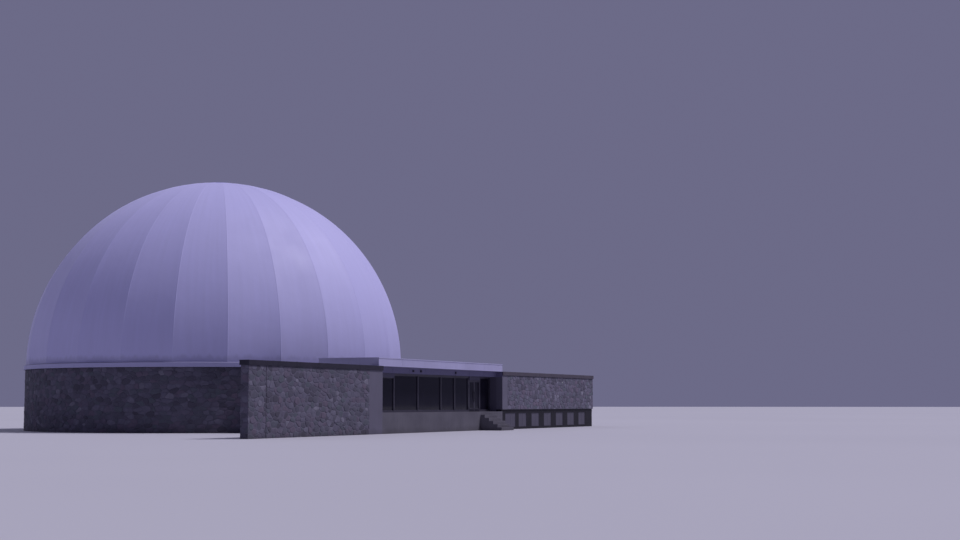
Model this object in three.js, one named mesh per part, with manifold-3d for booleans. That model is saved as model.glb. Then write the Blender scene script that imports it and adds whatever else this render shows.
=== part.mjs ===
// A domed hall with a low glazed entrance front: a smooth white dome of flat-faced gores on
// a round stone wall, and before it a flat-roofed lobby between two long textured walls.
// X runs along the front to the right, Y towards the back, Z up; the origin is on the
// ground under the dome's crown. Sizes are in metres of the real building.
import * as THREE from "three";
import { mergeVertices } from "three/addons/utils/BufferGeometryUtils.js";
import Module from "manifold-3d";

const wasm = await Module();
wasm.setup();

// The part is a 1:2 scale model: millimetres of the model in one metre of the building.
const SCALE = 1 / 2;
const MM = 1000 * SCALE;
const SEAT_GAP = 0.0006;

// Dome
const DOME_RADIUS = 12.24;
const SPRING_Z = 4.16;
const SHELL_THICKNESS = 0.16;
const GORES_PER_PIECE = 3;
const GORE_PIECES = 8;
const GORE_DEG = 360 / (GORE_PIECES * GORES_PER_PIECE);
const SHELL_ROWS = 18;
const CROWN_RADIUS = 0.9;
const CROWN_RISE = 0.05;
const FACET_DEG = 5;

// Ring beam and round wall under the dome
const RING_PROJECTION = 0.12;
const RING_BOTTOM = 3.86;
const DRUM_THICKNESS = 0.4;
const DRUM_INNER = DOME_RADIUS - DRUM_THICKNESS;
const DOORWAY_HALF_DEG = 5;
const DOORWAY_TOP = 3.3;
const DOORWAY_SILL_OVERLAP = 0.1;
const DRUM_SIDE_DEG = 25;
const DRUM_PIECE_DEG = 60;
const FRONT_DEG = -90;
const LOBBY_REACH_DEG = 60;
const FIRST_SEAM_DEG = FRONT_DEG + GORE_DEG / 2;

// Levels shared by the whole building
const FLOOR_Z = 1.2;
const WALL_TOP = 3.6;
const COPING_TOP = 3.85;
const ROOF_TOP = 4.32;

// Lines of the front, from the outer face of the walls inwards
const FRONT_Y = -17.05;
const WALL_THICKNESS = 0.45;
const WALL_BACK_Y = FRONT_Y + WALL_THICKNESS;
const GLASS_FRONT_Y = FRONT_Y + 0.9;
const FRAME_DEPTH = 0.15;
const HEADER_BACK_Y = GLASS_FRONT_Y + 0.2;
const WING_BACK_Y = -13.1;

// Lobby
const LOBBY_HALF = 8.3;
const SIDE_WALL = 0.4;
const HEADER_BOTTOM = 3.48;
const DOOR_HEAD = 3.22;
const ROOF_LEFT = -8.75;
const FASCIA_THICKNESS = 0.1;
const MULLION_WIDTH = 0.1;
const SILL_HEIGHT = 0.1;
const MULLION_X = [-5.25, -2.18, 0.94, 2.9];
const DOOR_LEFT = 4.93;
const DOOR_RIGHT = 6.67;
const GLASS_THICKNESS = 0.03;
const GLASS_Y = GLASS_FRONT_Y + (FRAME_DEPTH - GLASS_THICKNESS) / 2;

// Door leaves
const LEAF_CLEARANCE = 0.016;
const LEAF_THICKNESS = 0.06;
const LEAF_STILE = 0.09;
const KNUCKLE_RADIUS = 0.011;
const KNUCKLE_HEIGHT = 0.09;
const KNUCKLE_PLATE = 0.045;
const KNUCKLE_HEIGHTS = [1.45, 2.85];
const PULL_RADIUS = 0.016;
const PULL_STANDOFF = 0.06;
const PULL_LOW = 0.8;
const PULL_HIGH = 1.3;
const PULL_STUB_HALF = 0.01;
const PULL_STUB_INSET = 0.05;

// Steps up to the doors
const STEP_TREAD = 0.3;
const STEP_COUNT = 5;
const STEPS_HALF_WIDTH = 0.95;

// Left screen wall
const SCREEN_LEFT = -21.87;
const PIER_LEFT = -9.82;
const COPING_OVERHANG = 0.06;

// Right wing
const WING_RIGHT = 25.2;
const WING_WALL_BOTTOM = 1.33;
const BEAM_BOTTOM = 1.08;
const BEAM_SETBACK = 0.08;
const PANEL_COUNT = 7;
const PANEL_PITCH = 2.24;
const PANEL_WIDTH = 1.33;
const FIRST_PANEL_WIDTH = 1.7;
const FIRST_POST_WIDTH = 0.67;
const RIGHT_PIER_WIDTH = 0.85;
const PANEL_BOTTOM = 0.16;
const POST_SETBACK = 0.09;
const PANEL_SETBACK = 0.1;
const PANEL_BACKING = 0.06;
const WING_SLAB = 0.25;

const rad = THREE.MathUtils.degToRad;

const material = (color, roughness, metalness = 0) =>
  new THREE.MeshStandardMaterial({ color, roughness, metalness });
const DOME_WHITE = () => material(0xd4d3de, 0.55);
const FASCIA_WHITE = () => material(0xcfcdd6, 0.5);
const STONE = () => material(0x77737c, 0.9);
const SMOOTH_PIER = () => material(0x827e86, 0.8);
const COPING_DARK = () => material(0x3a3942, 0.6);
const HEADER_GREY = () => material(0x55535e, 0.7);
const FRAME_GREY = () => material(0x3c3b45, 0.5, 0.4);
const GLASS = () => material(0x1b1b24, 0.08);
const CONCRETE = () => material(0x68656c, 0.9);
const PANEL_PALE = () => material(0x85828c, 0.7);

const building = new THREE.Group();

function place(name, geometry, finish) {
  const mesh = new THREE.Mesh(geometry, finish);
  mesh.name = name;
  building.add(mesh);
}

// A closed geometry as a manifold solid, and back.
function solid(geometry) {
  const bare = geometry.clone();
  bare.deleteAttribute("normal");
  bare.deleteAttribute("uv");
  const merged = mergeVertices(bare, 1e-4);
  return new wasm.Manifold(
    new wasm.Mesh({
      numProp: 3,
      vertProperties: new Float32Array(merged.attributes.position.array),
      triVerts: new Uint32Array(merged.index.array),
    }),
  );
}

function surface(body) {
  const mesh = body.getMesh();
  const geometry = new THREE.BufferGeometry();
  geometry.setAttribute("position", new THREE.BufferAttribute(mesh.vertProperties, 3));
  geometry.setIndex(new THREE.BufferAttribute(mesh.triVerts, 1));
  return geometry;
}

const joined = (geometries) =>
  surface(geometries.map(solid).reduce((all, next) => all.add(next)));

// An upright box between two x, two y and two z.
function box(x0, x1, y0, y1, z0, z1) {
  const geometry = new THREE.BoxGeometry((x1 - x0) * MM, (y1 - y0) * MM, (z1 - z0) * MM);
  geometry.translate(((x0 + x1) / 2) * MM, ((y0 + y1) / 2) * MM, ((z0 + z1) / 2) * MM);
  return geometry;
}

// A plan outline, anticlockwise from above, raised from z0 to z1.
function prism(outline, z0, z1) {
  const shape = new THREE.Shape(outline.map(([x, y]) => new THREE.Vector2(x * MM, y * MM)));
  const geometry = new THREE.ExtrudeGeometry(shape, { depth: (z1 - z0) * MM, bevelEnabled: false });
  geometry.translate(0, 0, z0 * MM);
  return geometry;
}

function cylinder(x, y, z0, z1, radius, sides = 16) {
  const geometry = new THREE.CylinderGeometry(radius * MM, radius * MM, (z1 - z0) * MM, sides);
  geometry.rotateX(Math.PI / 2);
  geometry.translate(x * MM, y * MM, ((z0 + z1) / 2) * MM);
  return geometry;
}

const polar = (radius, deg) => [radius * Math.cos(rad(deg)), radius * Math.sin(rad(deg))];

// Points on a circle from one angle to another, a facet apart.
function arc(radius, fromDeg, toDeg) {
  const steps = Math.round(Math.abs(toDeg - fromDeg) / FACET_DEG);
  const points = [];
  for (let i = 0; i <= steps; i++) {
    points.push(polar(radius, fromDeg + ((toDeg - fromDeg) * i) / steps));
  }
  return points;
}

// A length of round wall, its two ends held back by half a joint.
function wallSector(inner, outer, fromDeg, toDeg, z0, z1) {
  const outside = arc(outer, fromDeg, toDeg);
  const inside = arc(inner, toDeg, fromDeg);
  const shift = (point, deg, sign) => {
    point[0] -= (sign * Math.sin(rad(deg)) * SEAT_GAP) / 2;
    point[1] += (sign * Math.cos(rad(deg)) * SEAT_GAP) / 2;
  };
  shift(outside[0], fromDeg, 1);
  shift(inside.at(-1), fromDeg, 1);
  shift(outside.at(-1), toDeg, -1);
  shift(inside[0], toDeg, -1);
  return prism([...outside, ...inside], z0, z1);
}

// The round wall's outer face, seen from the lobby, between two x, left to right.
function drumEdge(xFrom, xTo) {
  const radius = DOME_RADIUS + SEAT_GAP;
  const corners = arc(radius, FRONT_DEG - LOBBY_REACH_DEG, FRONT_DEG + LOBBY_REACH_DEG);
  const at = (x) => {
    const i = corners.findIndex((p) => p[0] > x);
    const [a, b] = [corners[i - 1], corners[i]];
    return [x, a[1] + ((b[1] - a[1]) * (x - a[0])) / (b[0] - a[0])];
  };
  const between = corners.filter((p) => p[0] > xFrom && p[0] < xTo);
  return [at(xFrom), ...between, at(xTo)];
}

// One piece of the dome: three gores side by side, each flat from seam to seam.
function gorePiece(startDeg) {
  const columns = GORES_PER_PIECE;
  const topLatitude = Math.acos(CROWN_RADIUS / DOME_RADIUS);
  const positions = [];
  const vertex = (column, row, inside) => {
    const latitude = (topLatitude * row) / SHELL_ROWS;
    const deg = startDeg + GORE_DEG * column;
    const radius = inside ? DOME_RADIUS - SHELL_THICKNESS : DOME_RADIUS;
    const [x, y] = polar(radius * Math.cos(latitude), deg);
    const side = column === 0 ? 1 : column === columns ? -1 : 0;
    const shift = (side * SEAT_GAP) / 2;
    return [
      (x - Math.sin(rad(deg)) * shift) * MM,
      (y + Math.cos(rad(deg)) * shift) * MM,
      (SPRING_Z + radius * Math.sin(latitude)) * MM,
    ];
  };
  for (const inside of [false, true]) {
    for (let row = 0; row <= SHELL_ROWS; row++) {
      for (let column = 0; column <= columns; column++) {
        positions.push(...vertex(column, row, inside));
      }
    }
  }
  const layer = (columns + 1) * (SHELL_ROWS + 1);
  const at = (column, row, inside) => (inside ? layer : 0) + row * (columns + 1) + column;
  const index = [];
  const quad = (a, b, c, d) => index.push(a, b, c, a, c, d);
  for (let row = 0; row < SHELL_ROWS; row++) {
    for (let c = 0; c < columns; c++) {
      quad(at(c, row), at(c + 1, row), at(c + 1, row + 1), at(c, row + 1));
      quad(at(c, row + 1, true), at(c + 1, row + 1, true), at(c + 1, row, true), at(c, row, true));
    }
    quad(at(0, row, true), at(0, row), at(0, row + 1), at(0, row + 1, true));
    quad(at(columns, row), at(columns, row, true), at(columns, row + 1, true), at(columns, row + 1));
  }
  for (let c = 0; c < columns; c++) {
    quad(at(c, 0, true), at(c + 1, 0, true), at(c + 1, 0), at(c, 0));
    quad(at(c, SHELL_ROWS), at(c + 1, SHELL_ROWS), at(c + 1, SHELL_ROWS, true), at(c, SHELL_ROWS, true));
  }
  const geometry = new THREE.BufferGeometry();
  geometry.setAttribute("position", new THREE.Float32BufferAttribute(positions, 3));
  geometry.setIndex(index);
  return geometry;
}

// The cap that closes the ring left where the gores end, with a corner at each seam.
function crownCap() {
  const rimLatitude = Math.acos((CROWN_RADIUS - SEAT_GAP * 1.5) / DOME_RADIUS);
  const steps = 4;
  const curve = (radius, from, to) => {
    const points = [];
    for (let i = 0; i <= steps; i++) {
      const latitude = from + ((to - from) * i) / steps;
      const r = i === steps && to === Math.PI / 2 ? 0 : radius * Math.cos(latitude);
      points.push(new THREE.Vector2(r * MM, radius * Math.sin(latitude) * MM));
    }
    return points;
  };
  const under = curve(DOME_RADIUS - SHELL_THICKNESS, rimLatitude, Math.PI / 2).reverse();
  const over = curve(DOME_RADIUS + CROWN_RISE, rimLatitude, Math.PI / 2);
  const sides = 360 / GORE_DEG;
  const geometry = new THREE.LatheGeometry([...under, ...over], sides, rad(GORE_DEG / 2));
  geometry.rotateX(Math.PI / 2);
  geometry.translate(0, 0, SPRING_Z * MM);
  return geometry;
}

function buildDome() {
  for (let i = 0; i < GORE_PIECES; i++) {
    const from = FIRST_SEAM_DEG + GORE_DEG * GORES_PER_PIECE * i;
    place(`dome_gores_${i + 1}`, gorePiece(from), DOME_WHITE());
  }
  place("dome_crown_cap", crownCap(), DOME_WHITE());
  const names = ["front_right", "back_right", "back_left", "front_left"];
  names.forEach((name, i) => {
    const from = FRONT_DEG + 90 * i;
    const ring = wallSector(
      DRUM_INNER, DOME_RADIUS + RING_PROJECTION, from, from + 90, RING_BOTTOM, SPRING_Z,
    );
    place(`ring_beam_${name}`, ring, DOME_WHITE());
  });
}

function buildDrum() {
  const piece = (name, from, to, z0, z1) =>
    place(name, wallSector(DRUM_INNER, DOME_RADIUS, from, to, z0, z1), STONE());
  const left = FRONT_DEG - DOORWAY_HALF_DEG;
  const right = FRONT_DEG + DOORWAY_HALF_DEG;
  piece("drum_wall_door_left", left - DRUM_SIDE_DEG, left, 0, RING_BOTTOM);
  piece("drum_wall_over_door", left, right, DOORWAY_TOP, RING_BOTTOM);
  piece("drum_wall_door_right", right, right + DRUM_SIDE_DEG, 0, RING_BOTTOM);
  const pieces = (360 - 2 * (DOORWAY_HALF_DEG + DRUM_SIDE_DEG)) / DRUM_PIECE_DEG;
  for (let i = 0; i < pieces; i++) {
    const from = right + DRUM_SIDE_DEG + DRUM_PIECE_DEG * i;
    piece(`drum_wall_${i + 1}`, from, from + DRUM_PIECE_DEG, 0, RING_BOTTOM);
  }
  const disc = prism(arc(DRUM_INNER - SEAT_GAP, 0, 360).slice(0, -1), 0, FLOOR_Z);
  const sill = wallSector(DRUM_INNER - DOORWAY_SILL_OVERLAP, DOME_RADIUS, left, right, 0, FLOOR_Z);
  place("dome_floor", joined([disc, sill]), CONCRETE());
}

function buildLobbyShell() {
  const outer = LOBBY_HALF + SIDE_WALL;
  const edge = drumEdge(-LOBBY_HALF, LOBBY_HALF);
  const lobbyFloor = [[-LOBBY_HALF, FRONT_Y], [LOBBY_HALF, FRONT_Y], ...edge.reverse()];
  const floor = joined([prism(lobbyFloor, 0, FLOOR_Z), prism(wingInside(), 0, FLOOR_Z)]);
  place("front_floor", floor, CONCRETE());

  // A short, taller end of each side wall closes the space beside the header.
  const wallEnd = (x0) => box(x0, x0 + SIDE_WALL, WALL_BACK_Y, HEADER_BACK_Y, 0, COPING_TOP);
  const leftEdge = drumEdge(-outer, -LOBBY_HALF);
  const leftWall = [[-outer, HEADER_BACK_Y], [-LOBBY_HALF, HEADER_BACK_Y], ...leftEdge.reverse()];
  place("lobby_left_wall", joined([prism(leftWall, 0, WALL_TOP), wallEnd(-outer)]), STONE());
  place("right_return_wall", wallEnd(LOBBY_HALF), STONE());
  const rightEdge = drumEdge(LOBBY_HALF, outer);
  const wingFace = WING_BACK_Y - SIDE_WALL;
  const rightWall = [[LOBBY_HALF, wingFace], [outer, wingFace], ...rightEdge.reverse()];
  place("lobby_right_wall", prism(rightWall, 0, WALL_TOP), STONE());

  const roofEdge = drumEdge(-outer, outer);
  const lowRoof = [[-outer, HEADER_BACK_Y], [outer, HEADER_BACK_Y], ...roofEdge.reverse()];
  place("lobby_low_roof", prism(lowRoof, WALL_TOP, COPING_TOP), COPING_DARK());
  const header = box(-LOBBY_HALF, LOBBY_HALF, WALL_BACK_Y, HEADER_BACK_Y, HEADER_BOTTOM, COPING_TOP);
  place("lobby_header", header, HEADER_GREY());
}

function buildCanopy() {
  const t = FASCIA_THICKNESS;
  const [x0, x1] = [ROOF_LEFT, LOBBY_HALF];
  const [y0, y1] = [FRONT_Y, WING_BACK_Y];
  const slab = box(x0 + t, x1 - t, y0 + t, y1 - t, COPING_TOP, ROOF_TOP - t);
  place("roof_slab", slab, COPING_DARK());
  const fascia = joined([
    box(x0, x1, y0, y0 + t, COPING_TOP, ROOF_TOP),
    box(x0, x1, y1 - t, y1, COPING_TOP, ROOF_TOP),
    box(x0, x0 + t, y0, y1, COPING_TOP, ROOF_TOP),
    box(x1 - t, x1, y0, y1, COPING_TOP, ROOF_TOP),
  ]);
  place("roof_fascia", fascia, FASCIA_WHITE());
}

// Hinge knuckles on one side of a leaf's axis: side is 1 towards the leaf, -1 towards the jamb.
function knuckles(axisX, side, above) {
  const y = GLASS_FRONT_Y - KNUCKLE_RADIUS;
  return KNUCKLE_HEIGHTS.flatMap((z) => {
    const z0 = above ? z + SEAT_GAP / 2 : z - KNUCKLE_HEIGHT;
    const z1 = above ? z + KNUCKLE_HEIGHT : z - SEAT_GAP / 2;
    const far = axisX + side * KNUCKLE_PLATE;
    const [x0, x1] = [Math.min(axisX, far), Math.max(axisX, far)];
    return [
      cylinder(axisX, y, z0, z1, KNUCKLE_RADIUS),
      box(x0, x1, y - KNUCKLE_RADIUS / 2, GLASS_FRONT_Y + KNUCKLE_RADIUS / 2, z0, z1),
    ];
  });
}

const JAMB_LEFT = DOOR_LEFT + MULLION_WIDTH / 2;
const JAMB_RIGHT = DOOR_RIGHT - MULLION_WIDTH / 2;
const AXIS_LEFT = JAMB_LEFT + LEAF_CLEARANCE / 2;
const AXIS_RIGHT = JAMB_RIGHT - LEAF_CLEARANCE / 2;

function buildGlazing() {
  const half = MULLION_WIDTH / 2;
  const [y0, y1] = [GLASS_FRONT_Y, GLASS_FRONT_Y + FRAME_DEPTH];
  const leftPanelEnd = MULLION_X[0];
  const posts = [...MULLION_X, DOOR_LEFT, DOOR_RIGHT].map((x) =>
    box(x - half, x + half, y0, y1, FLOOR_Z, HEADER_BOTTOM),
  );
  const ends = [
    box(-LOBBY_HALF, -LOBBY_HALF + MULLION_WIDTH, y0, y1, FLOOR_Z, HEADER_BOTTOM),
    box(LOBBY_HALF - MULLION_WIDTH, LOBBY_HALF, y0, y1, FLOOR_Z, HEADER_BOTTOM),
  ];
  const sills = [
    box(-LOBBY_HALF, DOOR_LEFT, y0, y1, FLOOR_Z, FLOOR_Z + SILL_HEIGHT),
    box(DOOR_RIGHT, LOBBY_HALF, y0, y1, FLOOR_Z, FLOOR_Z + SILL_HEIGHT),
  ];
  const heads = [
    box(-LOBBY_HALF, leftPanelEnd, y0, y1, DOOR_HEAD, HEADER_BOTTOM),
    box(DOOR_LEFT, DOOR_RIGHT, y0, y1, DOOR_HEAD, HEADER_BOTTOM),
    box(leftPanelEnd, LOBBY_HALF, y0, y1, HEADER_BOTTOM - MULLION_WIDTH, HEADER_BOTTOM),
  ];
  const hinges = [...knuckles(AXIS_LEFT, -1, false), ...knuckles(AXIS_RIGHT, 1, false)];
  place("glazing_frame", joined([...posts, ...ends, ...sills, ...heads, ...hinges]), FRAME_GREY());

  const pane = (name, xa, xb, top) => {
    const bottom = FLOOR_Z + SILL_HEIGHT;
    place(name, box(xa, xb, GLASS_Y, GLASS_Y + GLASS_THICKNESS, bottom, top), GLASS());
  };
  const top = HEADER_BOTTOM - MULLION_WIDTH;
  const starts = [-LOBBY_HALF + half, ...MULLION_X];
  const stops = [...MULLION_X, DOOR_LEFT];
  starts.forEach((x, i) => {
    pane(`glass_pane_${i + 1}`, x + half, stops[i] - half, i === 0 ? DOOR_HEAD : top);
  });
  pane(`glass_pane_${starts.length + 1}`, DOOR_RIGHT + half, LOBBY_HALF - MULLION_WIDTH, top);
}

// One leaf from its jamb side to its meeting side; side is 1 for the left leaf, -1 for the right.
function buildLeaf(name, jamb, axisX, side) {
  const clear = JAMB_RIGHT - JAMB_LEFT;
  const width = (clear - 3 * LEAF_CLEARANCE) / 2;
  const near = jamb + side * LEAF_CLEARANCE;
  const far = near + side * width;
  const [x0, x1] = [Math.min(near, far), Math.max(near, far)];
  const [y0, y1] = [GLASS_FRONT_Y, GLASS_FRONT_Y + LEAF_THICKNESS];
  const [z0, z1] = [FLOOR_Z + LEAF_CLEARANCE, DOOR_HEAD - LEAF_CLEARANCE];
  const pullX = far - (side * LEAF_STILE) / 2;
  const pullY = y0 - PULL_STANDOFF;
  const [pullLow, pullHigh] = [FLOOR_Z + PULL_LOW, FLOOR_Z + PULL_HIGH];
  const h = PULL_STUB_HALF;
  const stub = (z) => box(pullX - h, pullX + h, pullY, y0 + h, z - h, z + h);
  const frame = joined([
    box(x0, x0 + LEAF_STILE, y0, y1, z0, z1),
    box(x1 - LEAF_STILE, x1, y0, y1, z0, z1),
    box(x0, x1, y0, y1, z0, z0 + 2 * LEAF_STILE),
    box(x0, x1, y0, y1, z1 - LEAF_STILE, z1),
    ...knuckles(axisX, side, true),
    cylinder(pullX, pullY, pullLow, pullHigh, PULL_RADIUS),
    stub(pullLow + PULL_STUB_INSET),
    stub(pullHigh - PULL_STUB_INSET),
  ]);
  place(`${name}_frame`, frame, FRAME_GREY());
  const glassY = y0 + (LEAF_THICKNESS - GLASS_THICKNESS) / 2;
  const glass = box(
    x0 + LEAF_STILE, x1 - LEAF_STILE, glassY, glassY + GLASS_THICKNESS,
    z0 + 2 * LEAF_STILE, z1 - LEAF_STILE,
  );
  place(`${name}_glass`, glass, GLASS());
}

function buildSteps() {
  const middle = (DOOR_LEFT + DOOR_RIGHT) / 2;
  const rise = FLOOR_Z / (STEP_COUNT + 1);
  const steps = [];
  for (let i = 0; i < STEP_COUNT; i++) {
    const front = FRONT_Y - STEP_TREAD * (STEP_COUNT - i);
    const [x0, x1] = [middle - STEPS_HALF_WIDTH, middle + STEPS_HALF_WIDTH];
    steps.push(box(x0, x1, front, FRONT_Y, 0, rise * (i + 1)));
  }
  place("entrance_steps", joined(steps), CONCRETE());
}

function buildScreenWall() {
  const o = COPING_OVERHANG;
  place("left_screen_wall", box(SCREEN_LEFT, PIER_LEFT, FRONT_Y, WALL_BACK_Y, 0, WALL_TOP), STONE());
  place("left_pier", box(PIER_LEFT, -LOBBY_HALF, FRONT_Y, WALL_BACK_Y, 0, WALL_TOP), SMOOTH_PIER());
  const coping = box(
    SCREEN_LEFT - o, -LOBBY_HALF - SIDE_WALL, FRONT_Y - o, WALL_BACK_Y + o, WALL_TOP, COPING_TOP,
  );
  const tail = box(-LOBBY_HALF - SIDE_WALL - o, -LOBBY_HALF, FRONT_Y - o, WALL_BACK_Y, WALL_TOP, COPING_TOP);
  place("left_wall_coping", joined([coping, tail]), COPING_DARK());
}

// The plan inside the wing's walls, round the short wall at the lobby's corner.
function wingInside() {
  const [x0, x1] = [LOBBY_HALF, WING_RIGHT - WALL_THICKNESS];
  const back = WING_BACK_Y - SIDE_WALL;
  return [
    [x0, HEADER_BACK_Y], [x0 + SIDE_WALL, HEADER_BACK_Y], [x0 + SIDE_WALL, WALL_BACK_Y],
    [x1, WALL_BACK_Y], [x1, back], [x0, back],
  ];
}

function buildWing() {
  const [x0, x1] = [LOBBY_HALF, WING_RIGHT];
  const inner = x1 - WALL_THICKNESS;
  const backFace = WING_BACK_Y - SIDE_WALL;
  const pierEnd = x0 + RIGHT_PIER_WIDTH;
  place("right_pier", box(x0, pierEnd, FRONT_Y, WALL_BACK_Y, WING_WALL_BOTTOM, WALL_TOP), SMOOTH_PIER());
  place("right_front_wall", box(pierEnd, x1, FRONT_Y, WALL_BACK_Y, WING_WALL_BOTTOM, WALL_TOP), STONE());

  // A dark beam on posts and a sill, with a pale panel between each two posts.
  const panelLeft = (i) => x0 + FIRST_POST_WIDTH + PANEL_PITCH * i;
  const panelRight = (i) => panelLeft(i) + (i === 0 ? FIRST_PANEL_WIDTH : PANEL_WIDTH);
  const posts = [
    box(x0, x1, FRONT_Y + BEAM_SETBACK, WALL_BACK_Y, BEAM_BOTTOM, WING_WALL_BOTTOM),
    box(x0, x1, FRONT_Y + POST_SETBACK, WALL_BACK_Y, 0, PANEL_BOTTOM),
  ];
  const backing = WALL_BACK_Y - PANEL_BACKING;
  const panels = [box(x0, x1, backing, WALL_BACK_Y, PANEL_BOTTOM, BEAM_BOTTOM)];
  for (let i = 0; i <= PANEL_COUNT; i++) {
    const left = i === 0 ? x0 : panelRight(i - 1);
    const right = i === PANEL_COUNT ? x1 : panelLeft(i);
    posts.push(box(left, right, FRONT_Y + POST_SETBACK, backing, 0, BEAM_BOTTOM));
  }
  const face = FRONT_Y + PANEL_SETBACK;
  for (let i = 0; i < PANEL_COUNT; i++) {
    panels.push(box(panelLeft(i), panelRight(i), face, WALL_BACK_Y, PANEL_BOTTOM, BEAM_BOTTOM));
  }
  place("lower_frame", joined(posts), COPING_DARK());
  place("lower_panels", joined(panels), PANEL_PALE());

  place("right_end_wall", box(inner, x1, WALL_BACK_Y, WING_BACK_Y, 0, WALL_TOP), STONE());
  place("right_back_wall", box(x0 + SIDE_WALL, inner, backFace, WING_BACK_Y, 0, WALL_TOP), STONE());
  place("wing_roof", prism(wingInside(), WALL_TOP - WING_SLAB, WALL_TOP), COPING_DARK());

  const o = COPING_OVERHANG;
  const coping = joined([
    box(x0, x1 + o, FRONT_Y - o, WALL_BACK_Y, WALL_TOP, COPING_TOP),
    box(inner, x1 + o, FRONT_Y - o, WING_BACK_Y + o, WALL_TOP, COPING_TOP),
    box(x0 + SIDE_WALL, x1 + o, backFace, WING_BACK_Y + o, WALL_TOP, COPING_TOP),
  ]);
  place("right_wing_coping", coping, COPING_DARK());
}

buildDome();
buildDrum();
buildLobbyShell();
buildCanopy();
buildGlazing();
buildLeaf("door_left", JAMB_LEFT, AXIS_LEFT, 1);
buildLeaf("door_right", JAMB_RIGHT, AXIS_RIGHT, -1);
buildSteps();
buildScreenWall();
buildWing();

export default building;
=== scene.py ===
# Finishes, stonework, dome sheets, trims, light and camera of the domed hall.
# Units are metres of the 1:2 model: X along the front to the right, Y towards the back,
# Z up, with the origin on the ground under the dome's crown.
import math
import random

import bmesh
import bpy
from mathutils import Matrix, Vector


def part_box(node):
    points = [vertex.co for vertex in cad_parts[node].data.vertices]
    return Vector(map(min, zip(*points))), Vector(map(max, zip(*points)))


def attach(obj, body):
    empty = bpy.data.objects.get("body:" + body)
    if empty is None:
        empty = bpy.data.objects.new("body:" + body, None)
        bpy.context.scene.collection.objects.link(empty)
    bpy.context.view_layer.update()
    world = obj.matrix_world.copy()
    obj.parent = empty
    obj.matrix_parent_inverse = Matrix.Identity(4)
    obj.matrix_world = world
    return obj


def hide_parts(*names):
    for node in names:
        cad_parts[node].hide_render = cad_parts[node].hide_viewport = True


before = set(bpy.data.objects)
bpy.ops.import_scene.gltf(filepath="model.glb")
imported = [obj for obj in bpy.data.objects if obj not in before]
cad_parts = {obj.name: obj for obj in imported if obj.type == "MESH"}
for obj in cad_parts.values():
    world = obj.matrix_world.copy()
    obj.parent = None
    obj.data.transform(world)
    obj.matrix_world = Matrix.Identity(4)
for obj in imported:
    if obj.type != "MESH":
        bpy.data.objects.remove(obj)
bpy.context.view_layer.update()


def solids(start):
    """The names of the solids that start alike, in order."""
    return sorted(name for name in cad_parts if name.startswith(start))


# Model metres in one metre of the real building. Sizes below are real ones times REAL.
REAL = 0.5
UP = Vector((0, 0, 1))
FULL_TURN = 2 * math.pi
QUARTER_TURN = math.pi / 2
FRONT_BEARING = -QUARTER_TURN

# Driving measures, most of them read from the solids
DOME_RADIUS = max(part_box(name)[1].x for name in solids("drum_wall"))
DOME_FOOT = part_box("dome_gores_1")[0].z
GORE_COUNT = 24
GORE_ANGLE = FULL_TURN / GORE_COUNT
FIRST_SEAM = FRONT_BEARING + GORE_ANGLE / 2
CROWN_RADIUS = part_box("dome_crown_cap")[1].x / math.cos(GORE_ANGLE / 2)
WALL_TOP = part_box("left_screen_wall")[1].z
FLOOR_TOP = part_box("front_floor")[1].z
LOBBY_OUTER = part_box("lobby_right_wall")[1].x
FRAME_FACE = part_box("glazing_frame")[0].y

# Stones: the jitter is a share of their spacing, the weight makes some larger than others, the
# corner is the share of each side that is cut off, the smallest kept is a share of the average
# area, and the reach is how many neighbours each way can cut a stone's outline.
STONE_WIDTH = 0.42 * REAL
STONE_HEIGHT = 0.26 * REAL
STONE_JITTER = 0.36
STONE_WEIGHT = 0.28
STONE_JOINT = 0.016 * REAL
STONE_CORNER = 0.2
STONE_SMALLEST = 0.06
STONE_REACH = 2
SEED_MARGIN = STONE_REACH + 1
STONE_RELIEF = (0.006 * REAL, 0.015 * REAL)
STONE_LEAN = 0.06
STONE_EMBED = 0.03 * REAL
# Rings above the mortar: share of the outline, share of the relief, roughness
STONE_RINGS = ((0.99, 0.2, 0.05), (0.86, 0.75, 0.1), (0.6, 1.0, 0.1))
STONE_CENTRE = 1.05
STRAIGHT_WALL_SEED = 100
ROUND_WALL_SEED = 200

# Movement joint near the left end of the screen wall
JOINT_LEFT = -20.325 * REAL
JOINT_RIGHT = -20.275 * REAL

# Dome sheets, and the battens over their seams, which narrow towards the crown
SHEET_THICKNESS = 0.16 * REAL
SHEET_ROWS = 56
SHEET_SEED = 7
SEAM_GAP = 0.004 * REAL
TOP_LATITUDE = math.acos(CROWN_RADIUS / DOME_RADIUS)
LATITUDES = [TOP_LATITUDE * row / SHEET_ROWS for row in range(SHEET_ROWS + 1)]
BATTEN_HALF = 0.03 * REAL
BATTEN_RISE = 0.006 * REAL
BATTEN_NARROWEST = 0.55

# Crown cap, turned up to a pinhole at its tip
CAP_LAP = 0.1 * REAL
CAP_THICKNESS = 0.03 * REAL
CAP_STEPS = 6
CAP_TIP = 0.001

# Ring under the dome. The groove's corners are in drips, in from the edge and up.
RING_DEPTH = 0.4 * REAL
RING_CHAMFER = 0.02 * REAL
RING_SLOPE = 0.03 * REAL
DRIP = 0.03 * REAL
DRIP_GROOVE = ((3, 0), (2.6, 0.5), (1.6, 0.5), (1.2, 0))
RING_SIDES = 36

# Edges cut off boxes, at most LARGEST_CUT of a box's shortest side
EDGE = 0.012 * REAL
HALF_EDGE = EDGE / 2
FINE_EDGE = EDGE / 3
FINEST_EDGE = EDGE / 4
EDGE_SEGMENTS = 2
EDGE_ROUNDNESS = 0.6
LARGEST_CUT = 0.3

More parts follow.
